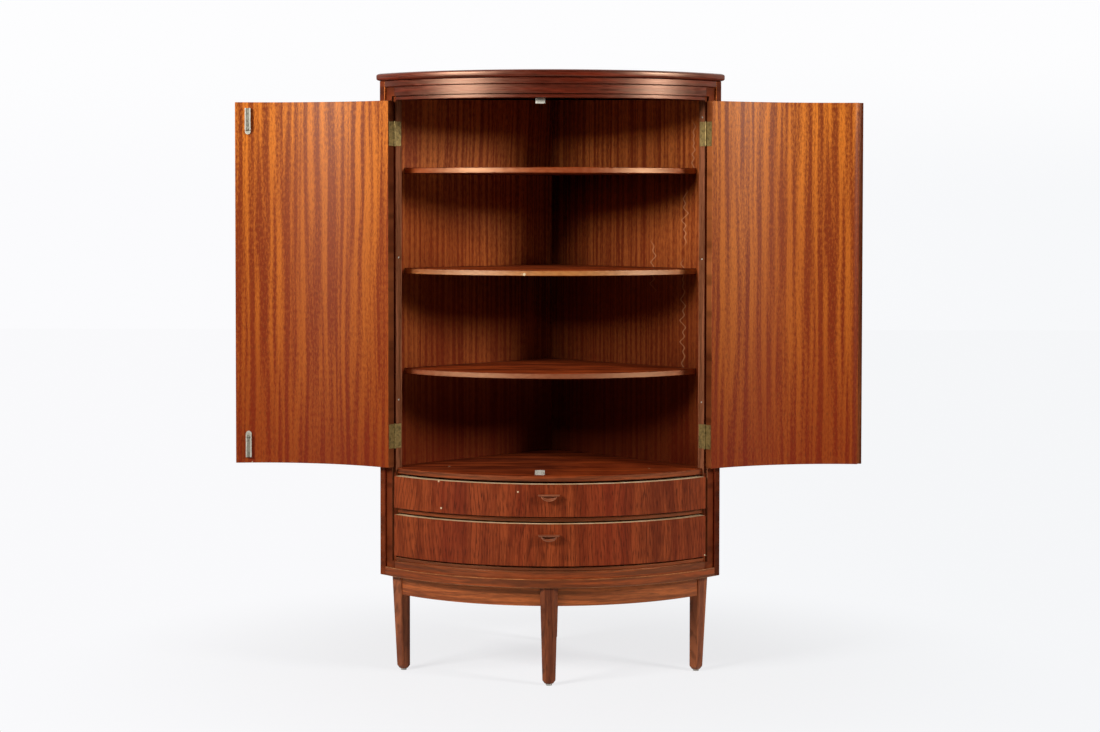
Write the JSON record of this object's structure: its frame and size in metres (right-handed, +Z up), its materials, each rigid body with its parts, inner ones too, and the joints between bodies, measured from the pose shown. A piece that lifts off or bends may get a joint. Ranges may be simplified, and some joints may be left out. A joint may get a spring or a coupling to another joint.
{
  "type": "corner bar cabinet",
  "caption": "Bow-fronted corner cabinet on square tapered legs, with curved doors folded open over wedge-shaped shelves and shallow bowed drawers below.",
  "frame": {"origin": "centre of the rear foot at floor level, on the plane of symmetry of the case", "axes": "+X to the cabinet's right side as seen from in front, +Y back into the corner of the room, +Z up; the front faces -Y"},
  "size_m": [1.3149, 0.5326, 1.24],
  "materials": {
    "teak": "satin varnished veneer with a straight grain",
    "rail_wood": "satin varnished solid wood",
    "door_veneer": "ribbon striped veneer, satin varnish",
    "inner_wood": "satin varnished veneer",
    "drawer_wood": "pale unvarnished wood",
    "brass": "aged, slightly dull",
    "steel": "plated, slightly dull",
    "glide_plastic": "smooth"
  },
  "bodies": {
    "carcase": {"top_board": "teak", "inner_top": "teak", "bottom_board": "teak", "left_side_panel": "teak", "right_side_panel": "teak", "left_stile": "rail_wood", "right_stile": "rail_wood", "top_rail": "rail_wood", "bottom_rail": "rail_wood", "cupboard_floor": "inner_wood", "drawer_divider": "rail_wood", "lower_shelf": "inner_wood", "middle_shelf": "inner_wood", "upper_shelf": "inner_wood", "upper_drawer_runner": "drawer_wood", "lower_drawer_runner": "drawer_wood", "left_leg": "rail_wood", "right_leg": "rail_wood", "rear_leg": "rail_wood", "centre_leg": "rail_wood", "left_glide": "glide_plastic", "right_glide": "glide_plastic", "rear_glide": "glide_plastic", "centre_glide": "glide_plastic", "front_apron": "rail_wood", "left_apron": "rail_wood", "right_apron": "rail_wood", "upper_keeper": "steel", "lower_keeper": "steel", "left_lower_hinge_frame_leaf": "brass", "left_lower_hinge_pin": "brass", "left_upper_hinge_frame_leaf": "brass", "left_upper_hinge_pin": "brass", "right_lower_hinge_frame_leaf": "brass", "right_lower_hinge_pin": "brass", "right_upper_hinge_frame_leaf": "brass", "right_upper_hinge_pin": "brass"},
    "left_door": {"left_door": "door_veneer", "left_lower_hinge_door_leaf": "brass", "left_upper_hinge_door_leaf": "brass", "upper_bolt_case": "steel", "lower_bolt_case": "steel"},
    "right_door": {"right_door": "door_veneer", "right_lower_hinge_door_leaf": "brass", "right_upper_hinge_door_leaf": "brass", "right_door_pull": "teak"},
    "upper_bolt": {"upper_bolt_slide": "steel"},
    "lower_bolt": {"lower_bolt_slide": "steel"},
    "upper_drawer": {"upper_drawer_front": "teak", "upper_drawer_left_side": "drawer_wood", "upper_drawer_right_side": "drawer_wood", "upper_drawer_back": "drawer_wood", "upper_drawer_bottom": "drawer_wood", "upper_drawer_pull": "teak"},
    "lower_drawer": {"lower_drawer_front": "teak", "lower_drawer_left_side": "drawer_wood", "lower_drawer_right_side": "drawer_wood", "lower_drawer_back": "drawer_wood", "lower_drawer_bottom": "drawer_wood", "lower_drawer_pull": "teak"}
  },
  "joints": [
    {"name": "left_door_hinge", "type": "hinge", "parent": "carcase", "child": "left_door", "pos_m": [-0.32009, -0.33282, 0.8053], "axis": [0, 0, 1], "range_deg": [0, 172.4]},
    {"name": "right_door_hinge", "type": "hinge", "parent": "carcase", "child": "right_door", "pos_m": [0.32009, -0.33282, 0.8053], "axis": [0, 0, -1], "range_deg": [0, 172.4]},
    {"name": "upper_bolt_slide", "type": "slide", "parent": "left_door", "child": "upper_bolt", "axis": [0, 0, 1], "range_m": [0, 0.01]},
    {"name": "lower_bolt_slide", "type": "slide", "parent": "left_door", "child": "lower_bolt", "axis": [0, 0, -1], "range_m": [0, 0.01]},
    {"name": "upper_drawer_slide", "type": "slide", "parent": "carcase", "child": "upper_drawer", "axis": [0, -1, 0], "range_m": [0, 0.23]},
    {"name": "lower_drawer_slide", "type": "slide", "parent": "carcase", "child": "lower_drawer", "axis": [0, -1, 0], "range_m": [0, 0.23]}
  ]
}
